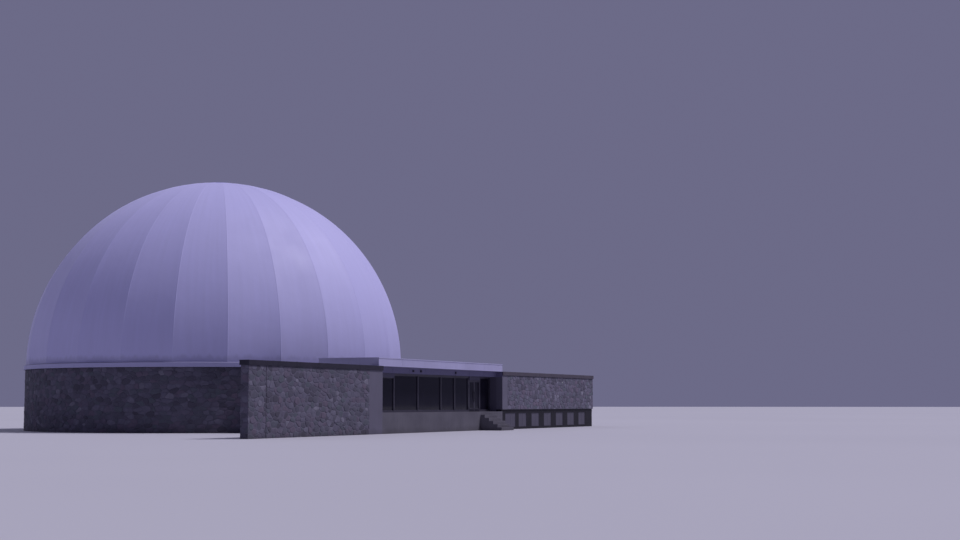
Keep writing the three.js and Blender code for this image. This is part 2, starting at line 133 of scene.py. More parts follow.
# Canopy, copings and edging
BOARD = 0.1 * REAL
FASCIA_LENGTH = 2.85 * REAL
LIP = 0.02 * REAL
LIP_HEIGHT = 0.045 * REAL
LOWER_LIP = 0.6
SOFFIT_DROP = 0.01 * REAL
COPING_LENGTH = 2.4 * REAL
LAP_GAP = 0.006 * REAL
LAP_RISE = 0.005 * REAL
LAP_HALF = 0.06 * REAL
EDGING_PROUD = 0.025 * REAL
EDGING_WIDTH = 0.12 * REAL
EDGING_DRIP = 0.035 * REAL
CLEARANCE = 0.004 * REAL

# Header, its lights and the lowered panels under it
COVER_LENGTH = 2.1 * REAL
COVER_HALF = 0.02 * REAL
COVER_PROUD = 0.008 * REAL
LIGHT_PLACES = (-3.72 * REAL, -2.71 * REAL, 2.06 * REAL)
LIGHT_HEIGHT = 3.65 * REAL
LIGHT_HALF = 0.06 * REAL
LIGHT_PROUD = 0.07 * REAL
LEFT_BAY_END = -5.25 * REAL
LOWERED_MARGIN = 0.03 * REAL

# Glazing beads and door plates
BEAD_WIDTH = 0.03 * REAL
BEAD_DEPTH = 0.025 * REAL
PLATE = 0.004 * REAL
KICK_MARGIN = 0.02 * REAL
LOCK_OFFSET = 0.045 * REAL
LOCK_HEIGHT = 0.7 * REAL
LOCK_HALF_WIDTH = 0.03 * REAL
LOCK_HALF_HEIGHT = 1.6 * LOCK_HALF_WIDTH

# Panels under the wing, from the wing's left end
PANEL_COUNT = 7
PANEL_PITCH = 2.24 * REAL
PANEL_WIDTH = 1.33 * REAL
FIRST_PANEL_WIDTH = 1.7 * REAL
FIRST_POST_WIDTH = 0.67 * REAL
PANEL_BACKING = 0.06 * REAL
PANEL_RIM = 0.05 * REAL

# Entrance steps
STEP_COUNT = 5
STEP_EDGE = 0.02 * REAL
STEP_CUT = 0.3 * STEP_EDGE
NOSING_MARGIN = 0.1 * REAL
NOSING_DEPTH = 0.05 * REAL
NOSING_PROUD = 0.004 * REAL
NOSING_INSET = 1.5 * STEP_EDGE

# Heights where the darkening at the dome's foot and the rain's splashes on the walls are
# full and where they end, the most that each covers, and how ragged their edges are
FOOT_DARKENING = (DOME_FOOT + 0.15 * REAL, DOME_FOOT + 0.48 * REAL)
FOOT_DARKENING_SHARE = 0.38
SPLASHES = (0.0, 0.45 * REAL)
SPLASH_SHARE = 0.45
RAGGEDNESS = 0.35
# How far up a ledge faces where its dirt starts and where it is full
LEDGE_DIRT = (0.3, 0.8)

# Most of a noise lies between these
NOISE_LOW = 0.3
NOISE_HIGH = 0.7

# Field stones' colours by tone: greys with a few pink, green, pale and dark ones
STONE_COLOURS = (
    (0.0, (0.034, 0.031, 0.052)),
    (0.12, (0.056, 0.052, 0.082)),
    (0.3, (0.072, 0.073, 0.106)),
    (0.42, (0.069, 0.086, 0.108)),
    (0.55, (0.088, 0.080, 0.128)),
    (0.7, (0.108, 0.082, 0.127)),
    (0.85, (0.105, 0.100, 0.150)),
    (0.96, (0.132, 0.126, 0.180)),
    (1.0, (0.185, 0.178, 0.232)),
)

# Studio and camera, with angles in degrees
FLOOR_REACH = 400
FLOOR_SIDES = 96
FLOOR_HEIGHT = -0.002
SKY = (0.150, 0.146, 0.245, 1)
EYE = Vector((-84.11, -58.55, 1.7)) * REAL
LOOK_AZIMUTH = 25.03
LOOK_ELEVATION = 5.05
FOCAL_PIXELS = 1515
IMAGE_WIDTH = 960
SENSOR_WIDTH = 36
FARTHEST_SEEN = 1000

scene = bpy.context.scene


class Finish:
    """One node material, built round a surface shader."""

    def __init__(self, name, **constants):
        self.material = bpy.data.materials.new(name)
        self.material.use_nodes = True
        self.tree = self.material.node_tree
        self.shader = self.tree.nodes["Principled BSDF"]
        for socket, value in constants.items():
            self.shader.inputs[socket.replace("_", " ")].default_value = value
        self.place = self.node("TexCoord").outputs["Object"]

    def node(self, kind, inputs=None, **settings):
        """Adds a node, whose inputs are links or plain values."""
        made = self.tree.nodes.new("ShaderNode" + kind)
        for key, value in settings.items():
            setattr(made, key, value)
        for key, value in (inputs or {}).items():
            if isinstance(value, bpy.types.NodeSocket):
                self.tree.links.new(value, made.inputs[key])
            else:
                made.inputs[key].default_value = value
        return made

    def feed(self, socket, value):
        self.tree.links.new(value, self.shader.inputs[socket])

    def roughen(self, pattern, low, high):
        self.feed("Roughness", self.spread(pattern, low, high))

    def stretch(self, x, y, z, place=None):
        """The place, stretched by a factor along each axis."""
        inputs = {0: place or self.place, 1: (x, y, z)}
        return self.node("VectorMath", inputs, operation="MULTIPLY").outputs[0]

    def noise(self, scale, detail, place=None):
        inputs = {"Vector": place or self.place, "Scale": scale, "Detail": detail}
        return self.node("TexNoise", inputs).outputs["Fac"]

    def streaks(self, across, down, detail=4.0):
        """Noise with a scale across the surface and another, much smaller, down it."""
        return self.noise(1.0, detail, self.stretch(across, across, down))

    def grains(self, scale, output="Distance"):
        """Cells, as the distance from their middles or as a colour for each."""
        return self.node("TexVoronoi", {"Vector": self.place, "Scale": scale}).outputs[output]

    def height(self, vector):
        return self.node("SeparateXYZ", {0: vector}).outputs["Z"]

    def tone(self):
        """The tone that the piece stores with each vertex."""
        return self.node("Attribute", attribute_name="tone").outputs["Fac"]

    def ramp(self, factor, stops):
        """A colour for each value of the factor, from (value, colour) stops."""
        made = self.node("ValToRGB", {"Fac": factor})
        elements = made.color_ramp.elements
        while len(elements) < len(stops):
            elements.new(0.5)
        for element, (value, colour) in zip(elements, stops):
            element.position = value
            element.color = (*colour, 1)
        return made.outputs["Color"]

    def two_tone(self, pattern, low, high):
        """A colour between two as a noise goes from low to high."""
        return self.ramp(pattern, [(NOISE_LOW, low), (NOISE_HIGH, high)])

    def spread(self, factor, low, high, start=NOISE_LOW, end=NOISE_HIGH, kind="LINEAR"):
        """A value between low and high as the factor goes from start to end."""
        inputs = {"Value": factor, "From Min": start, "From Max": end, "To Min": low, "To Max": high}
        return self.node("MapRange", inputs, interpolation_type=kind).outputs["Result"]

    def cover(self, base, colour, share):
        """The base under a share of a plain colour."""
        made = self.node("Mix", {0: share, 6: base, 7: (*colour, 1)}, data_type="RGBA")
        return made.outputs[2]

    def stain(self, base, colour, pattern, most):
        """The base under a plain colour that covers the most where the pattern is high."""
        return self.cover(base, colour, self.spread(pattern, low=0, high=most))

    def cover_below(self, base, colour, pattern, heights, most):
        """The base under a colour that fades out between two heights, with a ragged edge."""
        full, none = heights
        reach = RAGGEDNESS * (none - full)
        ragged = self.spread(pattern, low=-reach, high=reach)
        inputs = {0: self.height(self.place), 1: ragged}
        uneven = self.node("Math", inputs, operation="ADD").outputs[0]
        share = self.spread(uneven, low=most, high=0.0, start=full, end=none, kind="SMOOTHSTEP")
        return self.cover(base, colour, share)

    def splashed(self, base, colour):
        """The base, dirty near the ground where rain splashes."""
        return self.cover_below(base, colour, self.noise(scale=2.4, detail=5.0), SPLASHES, SPLASH_SHARE)

    def on_ledges(self, base, colour, most):
        """The base under grime that lies where the surface faces upwards."""
        start, full = LEDGE_DIRT
        upward = self.height(self.node("NewGeometry").outputs["Normal"])
        share = self.spread(upward, low=0.0, high=most, start=start, end=full)
        return self.cover(base, colour, share)

    def relief(self, height, depth, under=None):
        """A surface direction for a height pattern, over another direction where one is given."""
        inputs = {"Height": height, "Distance": depth, "Strength": 1.0}
        if under:
            inputs["Normal"] = under
        return self.node("Bump", inputs).outputs["Normal"]


def shade(colour, factor):
    return tuple(channel * factor for channel in colour)


def meridian_streaks(finish):
    """Noise by the bearing from the dome's axis, drawn out down its height."""
    flat = finish.stretch(1, 1, 0)
    bearing = finish.node("VectorMath", {0: flat}, operation="NORMALIZE").outputs[0]
    around = finish.stretch(38, 38, 0, bearing)
    down = finish.stretch(0, 0, 0.5)
    place = finish.node("VectorMath", {0: around, 1: down}, operation="ADD").outputs[0]
    return finish.noise(scale=1.0, detail=3.0, place=place)


def dome_paint(name, ledge=False):
    """Satin lilac-white paint, streaked by weather, darker towards the dome's foot and dirty on a
    ledge.
    """
    finish = Finish(name)
    white = (0.51, 0.50, 0.80)
    streaks = meridian_streaks(finish)
    blotches = finish.noise(scale=0.9, detail=5.0)
    base = finish.ramp(finish.tone(), [(0, shade(white, 0.985)), (1, shade(white, 1.015))])
    worn = finish.stain(base, shade(white, 0.62), streaks, most=0.12)
    faded = finish.stain(worn, (0.42, 0.41, 0.56), blotches, most=0.1)
    # Darker towards the dome's foot, fading out upwards with a ragged edge
    colour = finish.cover_below(faded, shade(white, 0.45), streaks, FOOT_DARKENING, FOOT_DARKENING_SHARE)
    if ledge:
        colour = finish.on_ledges(colour, shade(white, 0.2), most=0.6)
    finish.feed("Base Color", colour)
    finish.roughen(blotches, low=0.55, high=0.7)
    dents = finish.noise(scale=1.6, detail=2.0)
    finish.feed("Normal", finish.relief(dents, depth=0.006))
    return finish.material


def stone(name, painted_light_factor):
    """Mixed field stones, mottled and flecked, lightened by a factor that paints in light."""
    finish = Finish(name)
    colours = [(value, shade(colour, painted_light_factor)) for value, colour in STONE_COLOURS]
    stones = finish.ramp(finish.tone(), colours)
    clouds = finish.noise(scale=9, detail=6.0)
    crystals = finish.noise(scale=60, detail=4.0)
    mottled = finish.stain(stones, shade((0.054, 0.050, 0.072), painted_light_factor), clouds, most=0.45)
    flecked = finish.stain(mottled, shade((0.150, 0.143, 0.186), painted_light_factor), crystals, most=0.28)
    finish.feed("Base Color", finish.splashed(flecked, shade((0.040, 0.036, 0.048), painted_light_factor)))
    finish.roughen(clouds, low=0.8, high=0.95)
    coarse = finish.relief(clouds, depth=0.008)
    finish.feed("Normal", finish.relief(crystals, depth=0.002, under=coarse))
    return finish.material


def mortar():
    """Grey bedding mortar, sandy and a little stained."""
    finish = Finish("mortar", Roughness=0.95)
    sand = finish.noise(scale=120, detail=3.0)
    stains = finish.noise(scale=1.3, detail=5.0)
    colour = finish.two_tone(stains, (0.078, 0.073, 0.108), (0.104, 0.097, 0.142))
    sandy = finish.stain(colour, (0.17, 0.16, 0.21), sand, most=0.25)
    finish.feed("Base Color", finish.splashed(sandy, (0.046, 0.042, 0.055)))
    finish.feed("Normal", finish.relief(sand, depth=0.002))
    return finish.material


def render_coat(name, colour):
    """Smooth render, faintly clouded and streaked by rain."""
    finish = Finish(name)
    clouds = finish.noise(scale=1.8, detail=5.0)
    sand = finish.noise(scale=160, detail=2.0)
    marks = finish.streaks(across=15, down=0.9)
    base = finish.two_tone(clouds, shade(colour, 0.9), shade(colour, 1.1))
    sandy = finish.stain(base, shade(colour, 0.55), sand, most=0.12)
    streaked = finish.stain(sandy, shade(colour, 0.7), marks, most=0.2)
    finish.feed("Base Color", finish.splashed(streaked, shade(colour, 0.45)))
    finish.roughen(clouds, low=0.75, high=0.88)
    finish.feed("Normal", finish.relief(sand, depth=0.0008))
    return finish.material


def white_paint():
    """Satin white paint on sheet metal, with faint rain marks."""
    finish = Finish("white_paint")
    marks = finish.streaks(across=14, down=0.8)
    patches = finish.noise(scale=1.1, detail=3.0)
    colour = finish.two_tone(patches, (0.378, 0.368, 0.552), (0.422, 0.411, 0.616))
    finish.feed("Base Color", finish.stain(colour, (0.24, 0.23, 0.33), marks, most=0.14))
    finish.roughen(patches, low=0.38, high=0.52)
    return finish.material


def sheet_metal(name, low, high, roughness):
    """Painted or weathered sheet metal between two tones."""
    finish = Finish(name, Metallic=0.35)
    patches = finish.noise(scale=2.2, detail=5.0)
    scuffs = finish.streaks(across=40, down=6)
    finish.feed("Base Color", finish.two_tone(patches, low, high))
    finish.roughen(scuffs, low=roughness - 0.08, high=roughness + 0.1)
    return finish.material


def painted_board(name, low, high):
    """Matt paint over flat board."""
    finish = Finish(name)
    patches = finish.noise(scale=1.7, detail=5.0)
    brush = finish.streaks(across=60, down=3, detail=3.0)
    colour = finish.two_tone(patches, low, high)
    finish.feed("Base Color", finish.stain(colour, shade(low, 0.7), brush, most=0.12))
    finish.roughen(patches, low=0.55, high=0.72)
    return finish.material


def roofing():
    """Dark roofing felt under fine gravel."""
    finish = Finish("roofing", Roughness=0.95)
    gravel_scale = 58
    gravel = finish.grains(gravel_scale)
    damp = finish.noise(scale=0.7, detail=5.0)
    pebbles = [(0.2, (0.045, 0.043, 0.055)), (0.8, (0.150, 0.145, 0.168))]
    shades = finish.ramp(finish.grains(gravel_scale, "Color"), pebbles)
    finish.feed("Base Color", finish.stain(shades, (0.04, 0.04, 0.05), damp, most=0.5))
    finish.feed("Normal", finish.relief(gravel, depth=-0.004))
    return finish.material


def glass():
    """Dark tinted plate glass with a faint film of dust."""
    finish = Finish("glass", Transmission_Weight=0.35, IOR=1.45, Specular_IOR_Level=0.042)
    dust = finish.noise(scale=1.2, detail=5.0)
    finish.feed("Base Color", finish.two_tone(dust, (0.014, 0.0127, 0.024), (0.020, 0.018, 0.033)))
    finish.roughen(dust, low=0.02, high=0.06)
    return finish.material


def concrete():
    """Cast concrete, grey, slightly pitted and streaked by rain."""
    finish = Finish("concrete", Roughness=0.9)
    clouds = finish.noise(scale=1.5, detail=6.0)
    pits = finish.grains(70)
    pores = finish.noise(scale=90, detail=3.0)
    marks = finish.streaks(across=9, down=0.7)
    colour = finish.two_tone(clouds, (0.088, 0.083, 0.108), (0.128, 0.122, 0.150))
    porous = finish.stain(colour, (0.05, 0.05, 0.065), pores, most=0.2)
    streaked = finish.stain(porous, (0.062, 0.058, 0.074), marks, most=0.25)
    finish.feed("Base Color", finish.splashed(streaked, (0.045, 0.042, 0.050)))
    finish.feed("Normal", finish.relief(pits, depth=0.0015))
    return finish.material


def studio_floor():
    """Plain pale floor."""
    finish = Finish("studio_floor", Roughness=0.85)
    tint = finish.noise(scale=0.05, detail=2.0)
    finish.feed("Base Color", finish.two_tone(tint, (0.47, 0.47, 0.51), (0.49, 0.49, 0.53)))
    return finish.material


DOME_PAINT = dome_paint("dome_paint")
RING_PAINT = dome_paint("ring_paint", ledge=True)
STONE = stone("stone", painted_light_factor=1.0)
# The same stone for the wing, lighter as painted light
LIT_WING_STONE = stone("lit_wing_stone", painted_light_factor=1.28)
MORTAR = mortar()
RENDER = render_coat("render", (0.114, 0.107, 0.153))
# The same render as the left pier's, lighter as painted light
LIT_WING_RENDER = render_coat("lit_wing_render", (0.130, 0.122, 0.174))
# The same render, darker as painted shade on the return wall beside the glazing
SHADED_RENDER = render_coat("shaded_render", (0.101, 0.092, 0.140))
WHITE_PAINT = white_paint()
DARK_METAL = sheet_metal("dark_metal", (0.017, 0.015, 0.030), (0.027, 0.024, 0.043), 0.6)
BLACK_METAL = sheet_metal("black_metal", (0.008, 0.007, 0.014), (0.014, 0.012, 0.022), 0.65)
WING_COPING = sheet_metal("wing_coping", (0.074, 0.064, 0.086), (0.096, 0.084, 0.110), 0.62)
GREY_PAINT = painted_board("grey_paint", (0.128, 0.118, 0.222), (0.158, 0.147, 0.270))
# The header's grey paint, darker as painted shade on the lowered panels under the header
SHADED_HEAD_PAINT = painted_board("shaded_head_paint", (0.076, 0.070, 0.122), (0.094, 0.087, 0.148))
FRAME_PAINT = sheet_metal("frame_paint", (0.057, 0.053, 0.077), (0.072, 0.067, 0.096), 0.42)
PALE_PANEL = painted_board("pale_panel", (0.070, 0.065, 0.096), (0.088, 0.082, 0.118))
ROOFING = roofing()
GLASS = glass()
CONCRETE = concrete()

# Finishes of the solids that stay in view, by the start of their names
SOLID_FINISHES = (
    (MORTAR, ("drum_wall", "left_screen_wall", "lobby_left_wall", "lobby_right_wall",
              "right_front_wall", "right_end_wall", "right_back_wall")),
    # The return wall takes the darker copy of the render, painted shade
    (SHADED_RENDER, ("right_return_wall",)),
    (RENDER, ("left_pier",)),
    # The right pier takes the lighter copy of the render, painted light
    (LIT_WING_RENDER, ("right_pier",)),
    (ROOFING, ("lobby_low_roof", "roof_slab", "wing_roof")),
    (BLACK_METAL, ("lower_frame",)),
    (GREY_PAINT, ("lobby_header",)),
    (GLASS, ("glass_pane", "door_left_glass", "door_right_glass")),
    (FRAME_PAINT, ("glazing_frame", "door_left_frame", "door_right_frame")),
    (CONCRETE, ("dome_floor", "front_floor")),
)


def put(name, data):
    """A new object in the scene."""
    made = bpy.data.objects.new(name, data)
    scene.collection.objects.link(made)
    return made


def polar(radius, angle, z):
    """A place at a radius and a bearing from the dome's axis."""
    return (radius * math.cos(angle), radius * math.sin(angle), z)


class Shape:
    """Vertices and faces of one piece, with a tone for each vertex."""

    def __init__(self):
        self.vertices = []
        self.faces = []
        self.tones = []

    def vertex(self, place, tone=0.5):
        self.vertices.append(place)
        self.tones.append(tone)
        return len(self.vertices) - 1

    def ring(self, places, tone=0.5):
        return [self.vertex(place, tone) for place in places]

    def bridge(self, low, high, closed=True):
        """Quads from one ring or row of vertices to the next."""
        count = len(low) if closed else len(low) - 1
        for i in range(count):
            j = (i + 1) % len(low)
            self.faces.append((low[i], low[j], high[j], high[i]))

    def chain(self, rings, closed=True):
        """Bridges each ring or row to the next."""
        for low, high in zip(rings, rings[1:]):
            self.bridge(low, high, closed)

    def fan(self, ring, centre):
        for i, corner in enumerate(ring):
            self.faces.append((corner, ring[(i + 1) % len(ring)], centre))

    def box(self, low, high, edge=EDGE):
        """An upright box with its edges cut back."""
        made = bmesh.new()
        size = Vector(high) - Vector(low)
        middle = (Vector(high) + Vector(low)) / 2
        fitted = Matrix.Translation(middle) @ Matrix.Diagonal((*size, 1))
        bmesh.ops.create_cube(made, size=1, matrix=fitted)
        bmesh.ops.bevel(
            made, geom=made.edges[:], offset=min(edge, min(size) * LARGEST_CUT),
            segments=EDGE_SEGMENTS, profile=EDGE_ROUNDNESS, affect="EDGES",
        )
        start = len(self.vertices)
        for vertex in made.verts:
            self.vertex(tuple(vertex.co))
        for face in made.faces:
            self.faces.append(tuple(start + vertex.index for vertex in face.verts))
        made.free()

    def surround(self, low, high, width, edge):
        """Four bars round the inside of an upright rectangle."""
        (x0, y0, z0), (x1, y1, z1) = low, high
        self.box((x0, y0, z0), (x0 + width, y1, z1), edge)
        self.box((x1 - width, y0, z0), (x1, y1, z1), edge)
        self.box((x0 + width, y0, z1 - width), (x1 - width, y1, z1), edge)
        self.box((x0 + width, y0, z0), (x1 - width, y1, z0 + width), edge)

    def band(self, low, high, z0, z1, out, back, edge=FINE_EDGE):
        """A closed band round a rectangle, from back inside its line to out beyond it."""
        profile = [
            (-back, z0), (out - edge, z0), (out, z0 + edge),
            (out, z1 - edge), (out - edge, z1), (-back, z1),
        ]
        corners = (
            (low.x, -1, low.y, -1), (high.x, 1, low.y, -1),
            (high.x, 1, high.y, 1), (low.x, -1, high.y, 1),
        )
        rings = []
        for x, side_x, y, side_y in corners:
            rings.append(self.ring([(x + side_x * r, y + side_y * r, z) for r, z in profile]))
        for i, ring in enumerate(rings):
            self.bridge(rings[(i + 1) % len(rings)], ring)

    def piece(self, name, finish, slot, body="building", replaced=(), smooth=False):
        """Makes the piece with its finish, on a body."""
        mesh = bpy.data.meshes.new(name)
        mesh.from_pydata(self.vertices, [], self.faces)
        tones = mesh.attributes.new("tone", "FLOAT", "POINT")
        tones.data.foreach_set("value", self.tones)
        mesh.polygons.foreach_set("use_smooth", [smooth] * len(mesh.polygons))
        mesh.materials.append(finish)
        mesh.update()
        made = put(name, mesh)
        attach(made, body)
        if replaced:
            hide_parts(*replaced)


def clip(outline, a, b, limit):
    """The part of a convex outline where a * u + b * v is at most the limit."""
    kept = []
    for (u0, v0), (u1, v1) in zip(outline, outline[1:] + outline[:1]):
        before = a * u0 + b * v0 - limit
        after = a * u1 + b * v1 - limit
        if before <= 0:
            kept.append((u0, v0))
        if before * after < 0:
            share = before / (before - after)
            kept.append((u0 + (u1 - u0) * share, v0 + (v1 - v0) * share))
    return kept


def area(outline):
    turns = zip(outline, outline[1:] + outline[:1])
    return sum(u0 * v1 - u1 * v0 for (u0, v0), (u1, v1) in turns) / 2


def soften(outline):
    """Cuts every corner of an outline off."""
    points = []
    for i, (u, v) in enumerate(outline):
        for u1, v1 in (outline[i - 1], outline[(i + 1) % len(outline)]):
            points.append((u + (u1 - u) * STONE_CORNER, v + (v1 - v) * STONE_CORNER))
    return points


def rubble(width, height, rng):
    """Outlines of irregular stones that fill a wall face, in (u, v): along it and up."""
    columns = max(1, round(width / STONE_WIDTH))
    rows = max(1, round(height / STONE_HEIGHT))
    pitch_u = width / columns
    pitch_v = height / rows
    seeds = {}
    for i in range(-SEED_MARGIN, columns + SEED_MARGIN):
        for j in range(-SEED_MARGIN, rows + SEED_MARGIN):
            half_shift = 0.5 * (j % 2)
            u = (i + 0.5 + half_shift + rng.uniform(-STONE_JITTER, STONE_JITTER)) * pitch_u
            v = (j + 0.5 + rng.uniform(-STONE_JITTER, STONE_JITTER)) * pitch_v
            seeds[i, j] = (u, v, rng.uniform(-STONE_WEIGHT, STONE_WEIGHT))
    outlines = []
    for i in range(-1, columns + 1):
        for j in range(-1, rows + 1):
            outline = stone_outline(seeds, i, j, pitch_u, pitch_v, width, height)
            if len(outline) >= 3 and area(outline) > STONE_SMALLEST * pitch_u * pitch_v:
                outlines.append(outline)
    return outlines


def stone_outline(seeds, i, j, pitch_u, pitch_v, width, height):
    """The space nearer to one seed than to its neighbours, less half a joint all round."""
    u, v, weight = seeds[i, j]
    left = max(0, u - STONE_REACH * pitch_u)
    right = min(width, u + STONE_REACH * pitch_u)
    bottom = max(0, v - STONE_REACH * pitch_v)
    top = min(height, v + STONE_REACH * pitch_v)
    if left >= right or bottom >= top:
        return []
    outline = [(left, bottom), (right, bottom), (right, top), (left, top)]
    reach = range(-STONE_REACH, STONE_REACH + 1)
    for di in reach:
        for dj in reach:
            if (di or dj) and outline:
                u1, v1, weight1 = seeds[i + di, j + dj]
                a = 2 * (u1 - u) / pitch_u**2
                b = 2 * (v1 - v) / pitch_v**2
                along = (u1**2 - u**2) / pitch_u**2
                limit = along + (v1**2 - v**2) / pitch_v**2 + weight - weight1
                outline = clip(outline, a, b, limit - math.hypot(a, b) * STONE_JOINT / 2)
    return outline


def add_stone(shape, outline, place, rng):
    """A stone whose face bulges a little and leans a little out of the mortar."""
    outline = soften(outline)
    centre_u = sum(u for u, v in outline) / len(outline)
    centre_v = sum(v for u, v in outline) / len(outline)
    rise = rng.uniform(*STONE_RELIEF)
    lean_u = rng.uniform(-STONE_LEAN, STONE_LEAN)
    lean_v = rng.uniform(-STONE_LEAN, STONE_LEAN)
    tone = rng.random()

    def ring(share, height, rough):
        places = []
        for u, v in outline:
            du = (u - centre_u) * share
            dv = (v - centre_v) * share
            lean = (du * lean_u + dv * lean_v) * (height > 0)
            out = height + lean + rng.uniform(-rough, rough) * rise
            places.append(place(centre_u + du, centre_v + dv, out))
        return shape.ring(places, tone)

    rings = [ring(1.0, -STONE_EMBED, 0)]
    for share, height, rough in STONE_RINGS:
        rings.append(ring(share, rise * height, rough))
    shape.faces.append(tuple(reversed(rings[0])))
    shape.chain(rings)
    shape.fan(rings[-1], shape.vertex(place(centre_u, centre_v, rise * STONE_CENTRE), tone))


def box_side(low, high, side):
    """The origin, run, outward direction, width and height of one upright side of a box."""
    corner, run, outward = {
        "front": ((low.x, low.y), (1, 0), (0, -1)),
        "back": ((high.x, high.y), (-1, 0), (0, 1)),
        "left": ((low.x, high.y), (0, -1), (-1, 0)),
        "right": ((high.x, low.y), (0, 1), (1, 0)),
    }[side]
    width = high.x - low.x if side in ("front", "back") else high.y - low.y
    origin = Vector((*corner, low.z))
    return origin, Vector((*run, 0)), Vector((*outward, 0)), width, high.z - low.z


def face_with_stone(shape, low, high, side, rng):
    """Stones over one upright side of a box."""
    origin, run, outward, width, height = box_side(low, high, side)

    def place(u, v, out):
        return origin + run * u + UP * v + outward * out

    for outline in rubble(width, height, rng):
        add_stone(shape, outline, place, rng)


def cut_box(name, limits):
    """A solid's box, with limits such as high_x moved."""
    low, high = (corner.copy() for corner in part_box(name))
    for key, value in limits.items():
        end, axis = key.split("_")
        setattr(low if end == "low" else high, axis, value)
    return low, high


def stone_walls():
    """Stone on every face of the straight walls that can be seen."""
    meets_drum = -math.sqrt(DOME_RADIUS**2 - LOBBY_OUTER**2)
    wing_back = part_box("right_back_wall")[1].y
    walls = (
        ("left_screen_wall", STONE, [
            ({"high_x": JOINT_LEFT}, ["front", "back", "left"]),
            ({"low_x": JOINT_RIGHT}, ["front", "back"]),
        ]),
        # The wing's walls take the lighter copy of the stone, painted light
        ("right_front_wall", LIT_WING_STONE, [({}, ["front", "right"])]),
        ("right_end_wall", LIT_WING_STONE, [({}, ["right", "back"])]),
        ("right_back_wall", LIT_WING_STONE, [({}, ["back"])]),
        ("lobby_left_wall", STONE, [({"high_y": meets_drum, "high_z": WALL_TOP}, ["left"])]),
        ("lobby_right_wall", STONE, [({"low_y": wing_back, "high_y": meets_drum}, ["right"])]),
    )
    for number, (wall, finish, parts) in enumerate(walls):
        rng = random.Random(STRAIGHT_WALL_SEED + number)
        shape = Shape()
        for limits, sides in parts:
            low, high = cut_box(wall, limits)
            for side in sides:
                face_with_stone(shape, low, high, side, rng)
        shape.piece(wall + "_stone", finish, "stone", smooth=True)


def round_stretch(name, start, end, low, high, pieces, rng):
    """Stone on a stretch of the round wall between two bearings, as one or more pieces."""
    def place(u, v, out):
        return polar(DOME_RADIUS + out, start + u / DOME_RADIUS, low + v)

    width = (end - start) * DOME_RADIUS
    shapes = [Shape() for _ in range(pieces)]
    for outline in rubble(width, high - low, rng):
        middle = sum(u for u, v in outline) / len(outline)
        shape = shapes[min(pieces - 1, int(middle / width * pieces))]
        add_stone(shape, outline, place, rng)
    for i, shape in enumerate(shapes):
        label = f"{name}_{i + 1}" if pieces > 1 else name
        shape.piece(label, STONE, "stone", smooth=True)


def round_wall():
    """Stone round the wall under the dome, and inside the lobby beside the doorway."""
    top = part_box("drum_wall_1")[1].z
    lobby_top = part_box("lobby_low_roof")[0].z
    right = -math.acos(LOBBY_OUTER / DOME_RADIUS)
    left = math.pi - right
    doorway = math.asin(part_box("drum_wall_over_door")[1].x / DOME_RADIUS)
    door_right = FRONT_BEARING + doorway
    door_left = FRONT_BEARING - doorway + FULL_TURN
    stretches = (
        ("drum_stone", right, left, 0.0, top, 4),
        ("drum_stone_lobby_right", door_right, right, FLOOR_TOP, lobby_top, 1),
        ("drum_stone_lobby_left", left, door_left, FLOOR_TOP, lobby_top, 1),
    )
    for number, stretch in enumerate(stretches):
        round_stretch(*stretch, random.Random(ROUND_WALL_SEED + number))


def meridian(angle, radius, latitude, shift=0.0):
    """A place on the dome, moved sideways from its meridian by the shift."""
    out = radius * math.cos(latitude)
    return Vector((
        out * math.cos(angle) - math.sin(angle) * shift,
        out * math.sin(angle) + math.cos(angle) * shift,
        DOME_FOOT + radius * math.sin(latitude),
    ))


def dome_sheets():
    """Three flat-faced gores for each solid of the dome, each a closed sheet of its own."""
    rng = random.Random(SHEET_SEED)
    names = solids("dome_gores")
    each = GORE_COUNT // len(names)
    for number, name in enumerate(names):
        shape = Shape()
        for k in range(each):
            left = FIRST_SEAM + GORE_ANGLE * (number * each + k)
            add_gore(shape, left, left + GORE_ANGLE, rng.random())
        label = name.replace("gores", "sheets")
        shape.piece(label, DOME_PAINT, "dome_paint", replaced=[name], smooth=True)


def add_gore(shape, left, right, tone):
    """A closed sheet between two seams, flat across and curved up, with sharp edges."""
    def rows(radius):
        made = []
        for latitude in LATITUDES:
            left_end = meridian(left, radius, latitude, SEAM_GAP / 2)
            right_end = meridian(right, radius, latitude, -SEAM_GAP / 2)
            made.append(shape.ring((left_end, right_end), tone))
        return made

    def edge(first, second):
        # Corners of its own keep the edge sharp under smooth shading
        copies = [shape.ring([shape.vertices[i] for i in row], tone) for row in (first, second)]
        shape.bridge(*copies, closed=False)

    outside = rows(DOME_RADIUS)
    inside = rows(DOME_RADIUS - SHEET_THICKNESS)
    shape.chain(outside, closed=False)
    shape.chain(inside[::-1], closed=False)
    edge([row[0] for row in outside], [row[0] for row in inside])
    edge([row[1] for row in inside], [row[1] for row in outside])
    edge(inside[0], outside[0])
    edge(outside[-1], inside[-1])


def seam_battens():
    """A low batten over each seam of the dome."""
    shape = Shape()
    profile = (
        (-BATTEN_HALF, -BATTEN_RISE), (-BATTEN_HALF / 2, BATTEN_RISE / 2), (0, BATTEN_RISE),
        (BATTEN_HALF / 2, BATTEN_RISE / 2), (BATTEN_HALF, -BATTEN_RISE),
    )
    for k in range(GORE_COUNT):
        seam = FIRST_SEAM + GORE_ANGLE * k
        rings = []
        for latitude in LATITUDES:
            width = BATTEN_NARROWEST + (1 - BATTEN_NARROWEST) * math.cos(latitude)
            rings.append(shape.ring([
                meridian(seam, DOME_RADIUS + out, latitude, across * width) for across, out in profile
            ]))
        shape.faces.append(tuple(reversed(rings[0])))
        shape.chain(rings)
        shape.faces.append(tuple(rings[-1]))
    shape.piece("seam_battens", DOME_PAINT, "dome_paint")


